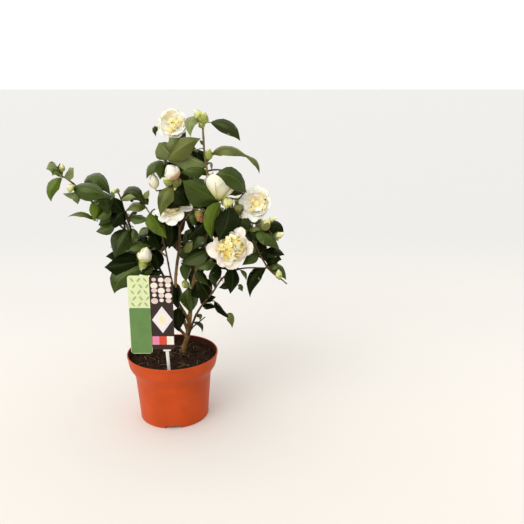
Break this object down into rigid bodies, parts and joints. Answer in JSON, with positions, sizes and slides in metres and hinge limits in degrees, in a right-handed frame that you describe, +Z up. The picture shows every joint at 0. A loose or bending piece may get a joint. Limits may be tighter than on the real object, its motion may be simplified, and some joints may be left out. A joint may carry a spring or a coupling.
{
  "type": "potted camellia shrub",
  "caption": "Young camellia shrub in bud and bloom, on an upright trunk with leaning side stems, in a round nursery pot with a plain plant label.",
  "frame": {"origin": "centre of the pot's flat underside", "axes": "+Z up along the pot's axis, -Y to the front where the label and the largest bloom face, +X to the right seen from the front"},
  "size_m": [0.4131, 0.257, 0.5737],
  "materials": {
    "pot": "satin terracotta-coloured moulded plastic",
    "compost": "moist dark brown fibrous peat compost",
    "label": "smooth printed card with a satin coat",
    "stake": "white moulded plastic",
    "bark": "thin tan-brown bark, finely ribbed, reddish on young wood",
    "foliage": "glossy leathery evergreen leaf",
    "petals": "soft waxy petal, cream with a yellow centre"
  },
  "bodies": {
    "root": {"pot": "pot", "compost": "compost", "label_card": "label", "label_stake": "stake", "trunk": "bark", "stem_middle": "bark", "stem_left": "bark", "bough_left": "bark", "bough_far_left": "bark", "bough_right": "bark", "bough_right_upper": "bark", "bough_front": "bark", "bough_shoulder": "bark", "bough_back_left": "bark", "bough_back_right": "bark", "bough_back_middle": "bark", "bough_back_centre": "bark", "bough_back_top": "bark", "foliage_top": "foliage", "foliage_top_right": "foliage", "foliage_top_left": "foliage", "foliage_upper": "foliage", "foliage_middle_left": "foliage", "foliage_far_left": "foliage", "foliage_left": "foliage", "foliage_lower_left": "foliage", "foliage_centre": "foliage", "foliage_shoulder": "foliage", "foliage_middle_right": "foliage", "bloom_front": "petals", "foliage_right": "foliage", "foliage_lower_right": "foliage", "foliage_low_right": "foliage", "foliage_low": "foliage", "foliage_back_top": "foliage", "foliage_back_left": "foliage", "foliage_back_middle": "foliage", "foliage_back_low": "foliage", "foliage_back_right": "foliage"}
  },
  "joints": []
}
